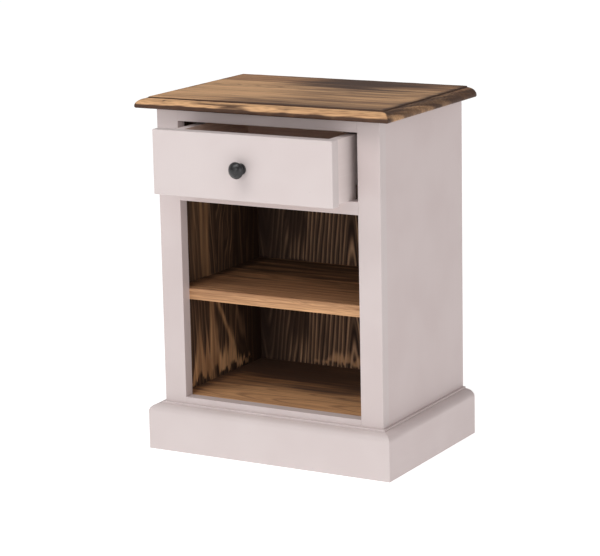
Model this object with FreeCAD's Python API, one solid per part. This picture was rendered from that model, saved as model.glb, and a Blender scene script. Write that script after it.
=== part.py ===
import FreeCAD, Part
import math
import os

# Nightstand with one drawer over an open compartment with a shelf.
# Millimetres. X runs to the right, Y from the front to the back, Z up.
# The origin is on the floor, at the centre of the outline with the drawer resting open.

# Case
case_width = 414.0
case_depth = 297.0
case_height = 581.0            # floor to the underside of the top
side_thickness = 20.0
back_thickness = 10.0
back_lap = 10.0                # how far the back panel laps into each side panel
back_clearance = 31.0          # floor to the lower edge of the back panel

# Face frame
frame_thickness = 20.0
stile_width = 40.5
top_rail_height = 21.0
drawer_opening_height = 111.0
mid_rail_height = 21.5
bottom_rail_height = 60.0
frame_arris = 0.8

# Floor, shelf and hidden battens
floor_level = 91.0             # top face of the compartment's floor
floor_thickness = 20.0
shelf_level = 275.5            # top face of the shelf
shelf_thickness = 20.0
shelf_arris = 1.2
cleat_size = 20.0
rear_rail_height = 60.0
rear_rail_thickness = 20.0

# Top
top_thickness = 18.0
top_overhang_side = 27.5
top_overhang_front = 25.0
top_step = 2.0
nose_radius = 3.0

# Plinth
plinth_height = 80.5
plinth_thickness = 21.5
plinth_step = 3.0

# Moulding worked on the edges of the top and of the plinth
ovolo_width = 17.0
ovolo_height = 12.5

# Drawer
drawer_rest_opening = 80.0     # how far the drawer stands open at rest
front_thickness = 20.0
front_side_gap = 1.25
front_top_gap = 2.0
front_bottom_gap = 2.4
front_arris = 1.2
box_wall = 16.0
box_side_gap = 16.5            # stile's inner edge to the box's outer face
box_top_gap = 7.0              # opening's upper edge to the top of the box
running_gap = 0.3              # under the box, on the runners and the mid rail
box_arris = 0.8
bottom_thickness = 5.0
bottom_rise = 8.0              # lower edge of the box to the underside of its bottom
groove_depth = 6.0
groove_gap = 0.1

# Drawer runners, guides, kickers and stops
runner_thickness = 20.0
runner_lap = 4.0               # how far a runner reaches inside the drawer's side
guide_height = 22.0
guide_gap = 1.0
kicker_gap = 2.0
batten_setback = 3.0           # face frame to the front ends of guides and kickers
stop_length = 20.0
stop_height = 20.0
stop_gap = 0.5

# Knob
knob_drop = 54.6               # top edge of the drawer front to the knob's centre
knob_base_diameter = 19.0
knob_base_thickness = 3.0
knob_neck_diameter = 10.5
knob_head_diameter = 27.5
knob_flare_height = 4.0
knob_under_height = 4.5
knob_rim_height = 16.0
knob_projection = 24.0
knob_screw_diameter = 4.0
knob_screw_grip = 10.0         # how far the screw enters the knob
knob_screw_head_diameter = 8.0
knob_screw_head_height = 2.6

# Fasteners
fit = 0.05                     # radial clearance round dowels, screws and nails
dowel_diameter = 8.0
dowel_length = 30.0
box_dowel_diameter = 6.0
box_dowel_length = 28.0
screw_diameter = 4.0
screw_head_diameter = 7.6
screw_head_height = 2.4
nail_diameter = 1.6
nail_length = 24.0
nail_head_diameter = 3.6
nail_head_height = 0.8
blind_gap = 0.5                # free depth past the end of a fastener
cutter_margin = 5.0
side_bite = 0.7                # share of a side panel's thickness that a screw enters
board_bite = 0.6               # share of any other board's thickness that a screw enters
batten_sink = 0.35             # share of a batten's width above its sunk screw heads
kicker_sink = 0.45             # share of a kicker's height below its sunk screw heads

# Places of the fasteners, as shares of the length that they are spread along
rail_dowel_shares = (0.25, 0.75)
stile_dowel_shares = (0.1, 0.36, 0.62, 0.92)
shelf_dowel_shares = (0.15, 0.5, 0.85)
cleat_screw_shares = (0.12, 0.5, 0.88)
runner_screw_shares = (0.2, 0.5, 0.8)
guide_screw_shares = (0.1, 0.35, 0.65, 0.9)
kicker_screw_shares = (0.2, 0.7)
top_screw_shares = (0.1, 0.45)
rear_top_screw_share = 0.6
plinth_screw_shares = (0.1, 0.5, 0.9)
plinth_screw_level = 0.45
plinth_front_screw_shares = (-0.7, 0, 0.7)
plinth_front_screw_level = 0.8
back_nail_shares = (0, 0.25, 0.5, 0.75, 1)
cross_nail_shares = (-0.5, 0, 0.5)
box_dowel_shares = (0.32, 0.6, 0.88)
box_front_dowel_share = 0.4
front_screw_shares = (0.4, 0.8)
front_screw_spread = 0.75
bottom_nail_shares = (-0.7, 0, 0.7)
back_nail_margin = 22.0        # lower edge of the back panel to its lowest nails
top_screw_inset = 10.0         # kicker's inner face to the screws into the top
box_dowel_shift = 1.0          # how much deeper the corner dowels enter the cross boards

# Planes and levels worked out from the sizes above
half_width = case_width / 2
overall_depth = knob_projection + drawer_rest_opening + case_depth
front_y = overall_depth / 2 - case_depth
back_y = front_y + case_depth
frame_back_y = front_y + frame_thickness
inner_back_y = back_y - back_thickness
inner_depth = inner_back_y - frame_back_y
inner_half = half_width - side_thickness
opening_half = half_width - stile_width
opening_top = case_height - top_rail_height
opening_bottom = opening_top - drawer_opening_height
total_height = case_height + top_thickness

box_half = opening_half - box_side_gap
box_bottom = opening_bottom + running_gap
box_top = opening_top - box_top_gap
box_front_y = front_y + front_thickness
box_back_y = inner_back_y - stop_length - stop_gap
box_inner_half = box_half - box_wall
runner_inner = box_inner_half - runner_lap
guide_inner = box_half + guide_gap
kicker_bottom = box_top + kicker_gap

pieces = {}


def vector(x, y, z):
    return FreeCAD.Vector(x, y, z)


def board(x0, x1, y0, y1, z0, z1):
    """A plain board between two opposite corners."""
    return Part.makeBox(x1 - x0, y1 - y0, z1 - z0, vector(x0, y0, z0))


def mirrored(shape):
    """The same shape on the other side of the plane X = 0."""
    return shape.mirror(vector(0, 0, 0), vector(1, 0, 0))


def pair(name, right_shape):
    """Keep a right-hand piece and its mirror image as two nodes."""
    pieces["right_" + name] = right_shape
    pieces["left_" + name] = mirrored(right_shape)


def cut_from(names, tools):
    """Cut the tools out of the named pieces."""
    for name in names:
        pieces[name] = pieces[name].cut(tools)


def soften(shape, radius, chosen):
    """Round the straight edges whose end points all satisfy the test."""
    edges = [edge for edge in shape.Edges if all(chosen(vertex.Point) for vertex in edge.Vertexes)]
    return shape.makeFillet(radius, edges)


def near(value, target):
    return abs(value - target) < 0.001


def turned_to(shape, position, direction, made_along=vector(0, 0, 1)):
    """Stand a shape at a position, turned from the axis that it was made along."""
    placed = shape.copy()
    rotation = FreeCAD.Rotation(made_along, direction)
    placed.Placement = FreeCAD.Placement(position, rotation)
    return placed


# Fasteners are made along +Z, the way they are driven, from the face where they start.

def pin(diameter, length):
    return Part.makeCylinder(diameter / 2, length)


def wood_screw(length):
    """A countersunk wood screw with a pointed end."""
    radius = screw_diameter / 2
    point = screw_diameter
    head = Part.makeCone(screw_head_diameter / 2, radius, screw_head_height)
    shank_length = length - screw_head_height - point
    shank = Part.makeCylinder(radius, shank_length, vector(0, 0, screw_head_height))
    tip = Part.makeCone(radius, radius / 4, point, vector(0, 0, length - point))
    return head.fuse([shank, tip]).removeSplitter()


def screw_bore(length, counterbore):
    """The hole for a wood screw, with a counterbore above its head."""
    radius = screw_diameter / 2 + fit
    head_radius = screw_head_diameter / 2 + fit
    sink = Part.makeCone(head_radius, radius, screw_head_height)
    hole = Part.makeCylinder(radius, length + blind_gap)
    bore = hole.fuse(sink)
    if counterbore > 0:
        bore = bore.fuse(Part.makeCylinder(head_radius, counterbore, vector(0, 0, -counterbore)))
    return bore.removeSplitter()


def nail():
    head = Part.makeCylinder(nail_head_diameter / 2, nail_head_height)
    shank = Part.makeCylinder(nail_diameter / 2, nail_length)
    return head.fuse(shank).removeSplitter()


def nail_bore():
    head = Part.makeCylinder(nail_head_diameter / 2 + fit, nail_head_height)
    shank = Part.makeCylinder(nail_diameter / 2 + fit, nail_length + blind_gap)
    return head.fuse(shank).removeSplitter()


def fasten(group, fastener, bore, spots, boards):
    """Set one fastener at each spot, bore the boards for it and keep the group as a node."""
    solids = [turned_to(fastener, position, direction) for position, direction in spots]
    bores = [turned_to(bore, position, direction) for position, direction in spots]
    cut_from(boards, Part.makeCompound(bores))
    pieces[group] = Part.makeCompound(solids)


def dowel_spots(spots, diameter, length):
    """A dowel, its bore and its spots, each centred on the joint that it crosses."""
    dowel = pin(diameter, length)
    bore = Part.makeCylinder(diameter / 2 + fit, length + 2 * blind_gap, vector(0, 0, -blind_gap))
    starts = [(position - direction * (length / 2), direction) for position, direction in spots]
    return dowel, bore, starts


def both_sides(spots):
    """Spots on the right, followed by the same spots mirrored to the left."""
    flipped = [(vector(-p.x, p.y, p.z), vector(-d.x, d.y, d.z)) for p, d in spots]
    return spots + flipped


def depth_at(share):
    """A place along the depth between the face frame and the back panel."""
    return frame_back_y + share * inner_depth


RIGHT = vector(1, 0, 0)
FORWARD = vector(0, -1, 0)
BACKWARD = vector(0, 1, 0)
UP = vector(0, 0, 1)
DOWN = vector(0, 0, -1)


# Mouldings

def quarter_ellipse(centre, across, along, quadrant):
    """A quarter of an ellipse in the XY plane, from 90 degrees times the quadrant onwards."""
    if across >= along:
        ellipse = Part.Ellipse(centre, across, along)
    else:
        ellipse = Part.Ellipse(centre + vector(0, along, 0), centre - vector(across, 0, 0), centre)
        quadrant = (quadrant + 3) % 4
    start = math.pi / 2 * quadrant
    return Part.ArcOfEllipse(ellipse, start, start + math.pi / 2).toShape()


def moulding_section(height, step, nose):
    """The waste outside a stepped ovolo edge, in local X inwards and local Y up."""
    ovolo_foot = height - step - ovolo_height
    out = -cutter_margin
    above = height + cutter_margin
    foot = vector(0, ovolo_foot, 0)
    centre = vector(ovolo_width, ovolo_foot, 0)
    edges = [quarter_ellipse(centre, ovolo_width, ovolo_height, 1)]
    outside = [foot, vector(out, ovolo_foot, 0)]
    if nose > 0:
        slant = nose * (1 - 0.5 ** 0.5)
        nose_top = vector(0, nose, 0)
        nose_end = vector(nose, 0, 0)
        edges.append(Part.LineSegment(foot, nose_top).toShape())
        edges.append(Part.Arc(nose_top, vector(slant, slant, 0), nose_end).toShape())
        outside = [nose_end, vector(nose, out, 0), vector(out, out, 0)]
    outside.append(vector(out, above, 0))
    outside.append(vector(ovolo_width, above, 0))
    outside.append(vector(ovolo_width, height - step, 0))
    for start, end in zip(outside, outside[1:]):
        edges.append(Part.LineSegment(start, end).toShape())
    return Part.Face(Part.Wire(Part.__sortEdges__(edges)))


def moulding_cutters(base_z, height, step, nose, half, front, back):
    """Cutters for the front, left and right edges of a moulded board or ring."""
    section = moulding_section(height, step, nose)
    long_side = 2 * (half + cutter_margin)
    long_depth = back - front + 2 * cutter_margin
    front_cutter = section.extrude(vector(0, 0, long_side))
    to_front = FreeCAD.Rotation(BACKWARD, UP, RIGHT, "ZXY")
    front_cutter.Placement = FreeCAD.Placement(vector(-half - cutter_margin, front, base_z), to_front)
    left_cutter = section.extrude(vector(0, 0, long_depth))
    to_left = FreeCAD.Rotation(RIGHT, UP, FORWARD, "ZXY")
    left_cutter.Placement = FreeCAD.Placement(vector(-half, back + cutter_margin, base_z), to_left)
    return [front_cutter, left_cutter, mirrored(left_cutter)]


def make_top():
    half = half_width + top_overhang_side
    front = front_y - top_overhang_front
    wall = top_thickness - top_step - ovolo_height
    nose = min(nose_radius, 0.9 * wall)
    blank = board(-half, half, front, back_y, case_height, total_height)
    cutters = moulding_cutters(case_height, top_thickness, top_step, nose, half, front, back_y)
    pieces["top_panel"] = blank.cut(cutters)


def mitre_wedge(corners):
    """A tall prism over the floor from its corners, used to trim a mitre."""
    points = [vector(x, y, -cutter_margin) for x, y in corners]
    face = Part.Face(Part.makePolygon(points + points[:1]))
    return face.extrude(vector(0, 0, plinth_height + 2 * cutter_margin))


def make_plinth():
    half = half_width + plinth_thickness
    front = front_y - plinth_thickness
    cutters = moulding_cutters(0, plinth_height, plinth_step, 0, half, front, back_y)
    far = half + cutter_margin
    ahead = front - cutter_margin
    beside = mitre_wedge([(half_width, front_y), (far, ahead), (far, front_y)])
    before = mitre_wedge([(half_width, front_y), (far, ahead), (half_width, ahead)])
    front_board = board(-half, half, front, front_y, 0, plinth_height).cut(cutters)
    pieces["plinth_front"] = front_board.cut([beside, mirrored(beside)])
    side_board = board(half_width, half, front, back_y, 0, plinth_height).cut(cutters)
    pair("plinth_side", side_board.cut(before))


# Case boards

def make_sides():
    panel = board(inner_half, half_width, frame_back_y, back_y, 0, case_height)
    rabbet = board(inner_half, inner_half + back_lap, inner_back_y, back_y, 0, case_height)
    panel = panel.cut(rabbet)
    panel = soften(panel, frame_arris, lambda p: near(p.x, half_width) and near(p.y, back_y))
    pair("side_panel", panel)


def make_back_and_rear_rail():
    reach = inner_half + back_lap
    pieces["back_panel"] = board(-reach, reach, inner_back_y, back_y, back_clearance, case_height)
    rail_front = inner_back_y - rear_rail_thickness
    rail_bottom = case_height - rear_rail_height
    pieces["rear_rail"] = board(-inner_half, inner_half, rail_front, inner_back_y,
                                rail_bottom, case_height)


def make_face_frame():
    stile = board(opening_half, half_width, front_y, frame_back_y, 0, case_height)
    stile = soften(stile, frame_arris, lambda p: near(p.y, front_y) and
                   (near(p.x, opening_half) or near(p.x, half_width)))
    pair("stile", stile)
    rails = {
        "top_rail": (opening_top, case_height, opening_top, None),
        "mid_rail": (opening_bottom - mid_rail_height, opening_bottom,
                     opening_bottom - mid_rail_height, opening_bottom),
        "bottom_rail": (floor_level - bottom_rail_height, floor_level, None, floor_level),
    }
    for name, (bottom, top, lower_arris, upper_arris) in rails.items():
        rail = board(-opening_half, opening_half, front_y, frame_back_y, bottom, top)
        for level in (lower_arris, upper_arris):
            if level is not None:
                rail = soften(rail, frame_arris, lambda p: near(p.y, front_y) and near(p.z, level))
        pieces[name] = rail


def make_floor_and_shelf():
    floor_bottom = floor_level - floor_thickness
    pieces["floor_panel"] = board(-inner_half, inner_half, frame_back_y, inner_back_y,
                                  floor_bottom, floor_level)
    shelf = board(-inner_half, inner_half, frame_back_y, inner_back_y,
                  shelf_level - shelf_thickness, shelf_level)
    pieces["shelf_panel"] = soften(shelf, shelf_arris, lambda p: near(p.y, frame_back_y))
    pair("floor_cleat", board(inner_half - cleat_size, inner_half, frame_back_y, inner_back_y,
                              floor_bottom - cleat_size, floor_bottom))


# Drawer supports

def make_drawer_supports():
    batten_front = frame_back_y + batten_setback
    runner_bottom = opening_bottom - runner_thickness
    pair("runner", board(runner_inner, inner_half, frame_back_y, inner_back_y,
                         runner_bottom, opening_bottom))
    pair("guide", board(guide_inner, inner_half, batten_front, inner_back_y,
                        opening_bottom, opening_bottom + guide_height))
    pair("kicker", board(runner_inner, inner_half, batten_front, inner_back_y - rear_rail_thickness,
                         kicker_bottom, case_height))
    pair("drawer_stop", board(box_inner_half, box_half, inner_back_y - stop_length, inner_back_y,
                              opening_bottom, opening_bottom + stop_height))


# Drawer, drawn closed

def make_drawer_front():
    half = opening_half - front_side_gap
    front = board(-half, half, front_y, box_front_y,
                  opening_bottom + front_bottom_gap, opening_top - front_top_gap)
    pieces["drawer_front"] = front.makeFillet(front_arris, front.Edges)


def make_drawer_box():
    groove_bottom = box_bottom + bottom_rise
    groove_top = groove_bottom + bottom_thickness
    groove_low = groove_bottom - groove_gap
    groove_high = groove_top + groove_gap
    box_front_back_y = box_front_y + box_wall
    groove_front_y = box_front_back_y - groove_depth
    side = board(box_inner_half, box_half, box_front_y, box_back_y, box_bottom, box_top)
    side = soften(side, box_arris, lambda p: near(p.z, box_top))
    groove = board(box_inner_half - cutter_margin, box_inner_half + groove_depth, groove_front_y,
                   box_back_y + cutter_margin, groove_low, groove_high)
    pair("drawer_side", side.cut(groove))
    box_front = board(-box_inner_half, box_inner_half, box_front_y, box_front_back_y,
                      box_bottom, box_top)
    front_groove = board(-box_half, box_half, groove_front_y, box_front_back_y + cutter_margin,
                         groove_low, groove_high)
    pieces["drawer_box_front"] = box_front.cut(front_groove)
    pieces["drawer_back"] = board(-box_inner_half, box_inner_half, box_back_y - box_wall, box_back_y,
                                  groove_high, box_top)
    reach = box_inner_half + groove_depth - groove_gap
    pieces["drawer_bottom"] = board(-reach, reach, groove_front_y + groove_gap, box_back_y,
                                    groove_bottom, groove_top)


def knob_outline():
    """Half of the knob's section, in local X outwards from its axis and local Y along it."""
    base = knob_base_diameter / 2
    neck = knob_neck_diameter / 2
    head = knob_head_diameter / 2
    lip = knob_base_thickness / 2
    shoulder = base - lip
    neck_start = knob_base_thickness + knob_flare_height
    neck_end = knob_rim_height - knob_under_height
    bend = lip * (1 - 0.5 ** 0.5)
    dome_tip = vector(0, knob_projection, 0)
    lines = [
        Part.LineSegment(dome_tip, vector(0, 0, 0)),
        Part.LineSegment(vector(0, 0, 0), vector(base, 0, 0)),
        Part.LineSegment(vector(base, 0, 0), vector(base, lip, 0)),
        Part.Arc(vector(base, lip, 0), vector(base - bend, knob_base_thickness - bend, 0),
                 vector(shoulder, knob_base_thickness, 0)),
        Part.LineSegment(vector(neck, neck_start, 0), vector(neck, neck_end, 0)),
    ]
    dome_height = knob_projection - knob_rim_height
    dome_radius = (head ** 2 + dome_height ** 2) / (2 * dome_height)
    half_angle = math.asin(head / dome_radius) / 2
    dome_middle = vector(dome_radius * math.sin(half_angle),
                         knob_projection - dome_radius * (1 - math.cos(half_angle)), 0)
    curves = [
        quarter_ellipse(vector(shoulder, neck_start, 0), shoulder - neck, knob_flare_height, 2),
        quarter_ellipse(vector(neck, knob_rim_height, 0), head - neck, knob_under_height, 3),
        Part.Arc(vector(head, knob_rim_height, 0), dome_middle, dome_tip).toShape(),
    ]
    return [line.toShape() for line in lines] + curves


def make_knob():
    outline = Part.Wire(Part.__sortEdges__(knob_outline()))
    knob = Part.Face(outline).revolve(vector(0, 0, 0), BACKWARD, 360)
    centre = vector(0, front_y, opening_top - front_top_gap - knob_drop)
    radius = knob_screw_diameter / 2
    inner_face = box_front_y + box_wall
    length = inner_face - front_y + knob_screw_grip
    start = vector(0, inner_face, centre.z)
    shank = pin(knob_screw_diameter, length)
    head = Part.makeCylinder(knob_screw_head_diameter / 2, knob_screw_head_height,
                             vector(0, 0, -knob_screw_head_height))
    screw = shank.fuse(head).removeSplitter()
    bore = Part.makeCylinder(radius + fit, length + blind_gap)
    pieces["knob"] = turned_to(knob, centre, FORWARD, BACKWARD)
    pieces["knob_screw"] = turned_to(screw, start, FORWARD)
    cut_from(["knob", "drawer_front", "drawer_box_front"], turned_to(bore, start, FORWARD))


# Joints

def join_face_frame():
    """Dowels across the rail ends, and from the stiles into the side panels."""
    middle_y = front_y + frame_thickness / 2
    levels = [(opening_top + case_height) / 2, opening_bottom - mid_rail_height / 2]
    levels += [floor_level - share * bottom_rail_height for share in rail_dowel_shares]
    spots = both_sides([(vector(opening_half, middle_y, z), RIGHT) for z in levels])
    boards = ["left_stile", "right_stile", "top_rail", "mid_rail", "bottom_rail"]
    fasten("frame_dowels", *dowel_spots(spots, dowel_diameter, dowel_length), boards)

    middle_x = half_width - side_thickness / 2
    shift = BACKWARD * ((dowel_length - frame_thickness) / 2)
    spots = [(vector(middle_x, frame_back_y, case_height * share) + shift, BACKWARD)
             for share in stile_dowel_shares]
    boards = ["left_stile", "right_stile", "left_side_panel", "right_side_panel"]
    fasten("stile_dowels", *dowel_spots(both_sides(spots), dowel_diameter, dowel_length), boards)


def join_shelf_and_rear_rail():
    """Dowels from the side panels into the ends of the shelf, the floor and the rear rail."""
    shift = RIGHT * ((side_thickness - dowel_length) / 2)
    sides = ["left_side_panel", "right_side_panel"]

    def end_spots(places):
        return both_sides([(vector(inner_half, y, z) + shift, RIGHT) for y, z in places])

    shelf_z = shelf_level - shelf_thickness / 2
    spots = end_spots([(depth_at(share), shelf_z) for share in shelf_dowel_shares])
    fasten("shelf_dowels", *dowel_spots(spots, dowel_diameter, dowel_length), sides + ["shelf_panel"])

    floor_z = floor_level - floor_thickness / 2
    spots = end_spots([(depth_at(share), floor_z) for share in shelf_dowel_shares])
    fasten("floor_dowels", *dowel_spots(spots, dowel_diameter, dowel_length), sides + ["floor_panel"])

    rail_y = inner_back_y - rear_rail_thickness / 2
    levels = [case_height - share * rear_rail_height for share in rail_dowel_shares]
    spots = end_spots([(rail_y, z) for z in levels])
    fasten("rear_rail_dowels", *dowel_spots(spots, dowel_diameter, dowel_length), sides + ["rear_rail"])


def screw_group(group, length, counterbore, spots, boards):
    fasten(group, wood_screw(length), screw_bore(length, counterbore), spots, boards)


def screw_battens():
    """Screws that hold the cleats, runners, guides and stops."""
    sides = ["left_side_panel", "right_side_panel"]
    bite = side_bite * side_thickness

    cleat_x = inner_half - cleat_size
    cleat_z = floor_level - floor_thickness - cleat_size / 2
    spots = [(vector(cleat_x, depth_at(share), cleat_z), RIGHT) for share in cleat_screw_shares]
    boards = ["left_floor_cleat", "right_floor_cleat"] + sides
    screw_group("cleat_screws", cleat_size + bite, 0, both_sides(spots), boards)

    runners = ["left_runner", "right_runner"]
    sunk = batten_sink * (inner_half - runner_inner)
    head_x = runner_inner + sunk
    runner_z = opening_bottom - runner_thickness / 2
    spots = [(vector(head_x, depth_at(share), runner_z), RIGHT) for share in runner_screw_shares]
    screw_group("runner_screws", inner_half - head_x + bite, sunk, both_sides(spots), runners + sides)

    middle_x = (guide_inner + inner_half) / 2
    guide_top = opening_bottom + guide_height
    spots = [(vector(middle_x, depth_at(share), guide_top), DOWN) for share in guide_screw_shares]
    length = guide_height + board_bite * runner_thickness
    boards = ["left_guide", "right_guide"] + runners
    screw_group("guide_screws", length, 0, both_sides(spots), boards)

    stop_y = inner_back_y - stop_length / 2
    stop_top = opening_bottom + stop_height
    spots = [(vector(box_half - box_wall / 2, stop_y, stop_top), DOWN)]
    length = stop_height + board_bite * runner_thickness
    boards = ["left_drawer_stop", "right_drawer_stop"] + runners
    screw_group("stop_screws", length, 0, both_sides(spots), boards)


def screw_top():
    """Screws through the kickers into the side panels, and up into the top."""
    sides = ["left_side_panel", "right_side_panel"]
    kickers = ["left_kicker", "right_kicker"]
    head_x = runner_inner + batten_sink * (inner_half - runner_inner)
    middle_z = (kicker_bottom + case_height) / 2
    length = inner_half - head_x + side_bite * side_thickness
    spots = [(vector(head_x, depth_at(share), middle_z), RIGHT) for share in kicker_screw_shares]
    screw_group("kicker_screws", length, head_x - runner_inner, both_sides(spots), kickers + sides)

    kicker_height = case_height - kicker_bottom
    sunk = kicker_sink * kicker_height
    head_z = kicker_bottom + sunk
    length = case_height - head_z + board_bite * top_thickness
    top_screw_x = runner_inner + top_screw_inset
    spots = [(vector(top_screw_x, depth_at(share), head_z), UP) for share in top_screw_shares]
    screw_group("top_screws", length, sunk, both_sides(spots), kickers + ["top_panel"])

    sunk = head_z - (case_height - rear_rail_height)
    rail_y = inner_back_y - rear_rail_thickness / 2
    spots = [(vector(rear_top_screw_share * inner_half, rail_y, head_z), UP)]
    screw_group("rear_top_screws", length, sunk, both_sides(spots), ["rear_rail", "top_panel"])


def screw_plinth():
    """Screws from inside the case into the plinth boards."""
    level = plinth_screw_level * plinth_height
    length = side_thickness + board_bite * plinth_thickness
    spots = [(vector(inner_half, depth_at(share), level), RIGHT) for share in plinth_screw_shares]
    sides = ["left_side_panel", "right_side_panel"]
    plinth_sides = ["left_plinth_side", "right_plinth_side"]
    screw_group("plinth_side_screws", length, 0, both_sides(spots), sides + plinth_sides)

    level = floor_level - plinth_front_screw_level * bottom_rail_height
    length = frame_thickness + board_bite * plinth_thickness
    spots = []
    for share in plinth_front_screw_shares:
        spots.append((vector(share * opening_half, frame_back_y, level), FORWARD))
    screw_group("plinth_front_screws", length, 0, spots, ["bottom_rail", "plinth_front"])


def nail_back():
    """Nails along both edges of the back panel and into the rear rail, shelf and floor."""
    sides = ["left_side_panel", "right_side_panel"]
    lowest = back_clearance + back_nail_margin
    highest = case_height - rear_rail_height / 2
    levels = [lowest + share * (highest - lowest) for share in back_nail_shares]
    edge_x = inner_half + back_lap / 2
    spots = both_sides([(vector(edge_x, back_y, z), FORWARD) for z in levels])
    cross_levels = [floor_level - floor_thickness / 2, shelf_level - shelf_thickness / 2, highest]
    for level in cross_levels:
        for share in cross_nail_shares:
            spots.append((vector(share * inner_half, back_y, level), FORWARD))
    boards = ["back_panel", "floor_panel", "shelf_panel", "rear_rail"] + sides
    fasten("back_nails", nail(), nail_bore(), spots, boards)


def join_drawer():
    """Dowels at the corners of the drawer box, screws into its front and nails under its back."""
    shift = RIGHT * ((box_wall - box_dowel_length) / 2 - box_dowel_shift)
    height = box_top - box_bottom
    spots = []
    for y in (box_front_y + box_front_dowel_share * box_wall, box_back_y - box_wall / 2):
        for share in box_dowel_shares:
            spots.append((vector(box_inner_half, y, box_bottom + share * height) + shift, RIGHT))
    boards = ["left_drawer_side", "right_drawer_side", "drawer_box_front", "drawer_back"]
    fasten("box_dowels", *dowel_spots(both_sides(spots), box_dowel_diameter, box_dowel_length), boards)

    inner_face = box_front_y + box_wall
    spots = []
    for x in (-front_screw_spread * box_inner_half, front_screw_spread * box_inner_half):
        for share in front_screw_shares:
            spots.append((vector(x, inner_face, box_bottom + share * height), FORWARD))
    length = box_wall + board_bite * front_thickness
    screw_group("front_screws", length, 0, spots, ["drawer_box_front", "drawer_front"])

    underside = box_bottom + bottom_rise
    nail_y = box_back_y - box_wall / 2
    spots = [(vector(share * box_inner_half, nail_y, underside), UP) for share in bottom_nail_shares]
    fasten("bottom_nails", nail(), nail_bore(), spots, ["drawer_bottom", "drawer_back"])


drawer_pieces = [
    "drawer_front", "drawer_box_front", "left_drawer_side", "right_drawer_side", "drawer_back",
    "drawer_bottom", "knob", "knob_screw", "front_screws", "box_dowels", "bottom_nails",
]


def open_drawer():
    """Slide every piece of the drawer forward to where it rests."""
    for name in drawer_pieces:
        pieces[name] = pieces[name].translated(vector(0, -drawer_rest_opening, 0))


def save_all():
    os.makedirs("parts", exist_ok=True)
    for name, shape in sorted(pieces.items()):
        shape.exportStep("parts/" + name + ".step")
        low = shape.BoundBox
        print("%-22s solids %2d  valid %s  X %.1f..%.1f  Y %.1f..%.1f  Z %.1f..%.1f" % (
            name, len(shape.Solids), shape.isValid(), low.XMin, low.XMax,
            low.YMin, low.YMax, low.ZMin, low.ZMax))


make_top()
make_plinth()
make_sides()
make_back_and_rear_rail()
make_face_frame()
make_floor_and_shelf()
make_drawer_supports()
make_drawer_front()
make_drawer_box()
make_knob()
join_face_frame()
join_shelf_and_rear_rail()
screw_battens()
screw_top()
screw_plinth()
nail_back()
join_drawer()
open_drawer()
save_all()
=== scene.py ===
import math

import bmesh
import bpy
import numpy as np
from mathutils import Matrix, Vector


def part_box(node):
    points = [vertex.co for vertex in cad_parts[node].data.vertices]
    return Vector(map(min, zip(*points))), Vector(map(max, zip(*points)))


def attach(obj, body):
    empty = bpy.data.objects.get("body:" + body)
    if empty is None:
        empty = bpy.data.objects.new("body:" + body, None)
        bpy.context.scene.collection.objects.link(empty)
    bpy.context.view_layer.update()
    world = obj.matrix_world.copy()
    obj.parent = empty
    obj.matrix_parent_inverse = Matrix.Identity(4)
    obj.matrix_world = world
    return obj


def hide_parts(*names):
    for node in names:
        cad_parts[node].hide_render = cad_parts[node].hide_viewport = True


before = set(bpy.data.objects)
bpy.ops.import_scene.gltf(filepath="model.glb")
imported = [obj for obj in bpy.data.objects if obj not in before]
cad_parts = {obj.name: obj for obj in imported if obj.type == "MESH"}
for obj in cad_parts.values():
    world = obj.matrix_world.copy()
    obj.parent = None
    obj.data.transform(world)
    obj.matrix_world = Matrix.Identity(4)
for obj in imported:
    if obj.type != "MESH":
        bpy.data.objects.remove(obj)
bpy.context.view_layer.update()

MM = 0.001

# Planes of the case, read from the frame
_, floor_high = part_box("floor_panel")
_, shelf_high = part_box("shelf_panel")
back_low, back_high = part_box("back_panel")
side_low, side_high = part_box("right_side_panel")
stile_low, stile_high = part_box("right_stile")
top_low, top_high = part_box("top_panel")
knob_low, knob_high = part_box("knob")
drawer_side_low, drawer_side_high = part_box("right_drawer_side")
inner_half = side_low.x
frame_back = stile_high.y
inner_back = back_low.y
back_half = back_high.x


# Repeatable noise for the relief of the brushed boards

def lattice(u, v, seed):
    """A repeatable value from 0 to 1 for each pair of whole numbers."""
    value = np.sin(u * 127.1 + v * 311.7 + seed * 74.7) * 43758.5453
    return value - np.floor(value)


def noise(u, v, seed):
    """Smooth noise from 0 to 1 over a plane."""
    cell_u, cell_v = np.floor(u), np.floor(v)
    part_u, part_v = u - cell_u, v - cell_v
    part_u = part_u * part_u * (3 - 2 * part_u)
    part_v = part_v * part_v * (3 - 2 * part_v)

    def row(cell):
        near = lattice(cell_u, cell, seed) * (1 - part_u)
        return near + lattice(cell_u + 1, cell, seed) * part_u

    return row(cell_v) * (1 - part_v) + row(cell_v + 1) * part_v


def layered(u, v, seed, layers=3):
    """Noise with finer layers added, from 0 to 1."""
    total = 0
    weight = 0
    for layer in range(layers):
        share = 0.5 ** layer
        finer = 2 ** layer
        total = total + share * noise(u * finer, v * finer, seed + 17 * layer)
        weight += share
    return total / weight


def rise(value, start, end):
    """0 before start, 1 after end and a smooth rise between them."""
    share = np.clip((value - start) / (end - start), 0, 1)
    return share * share * (3 - 2 * share)


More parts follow.
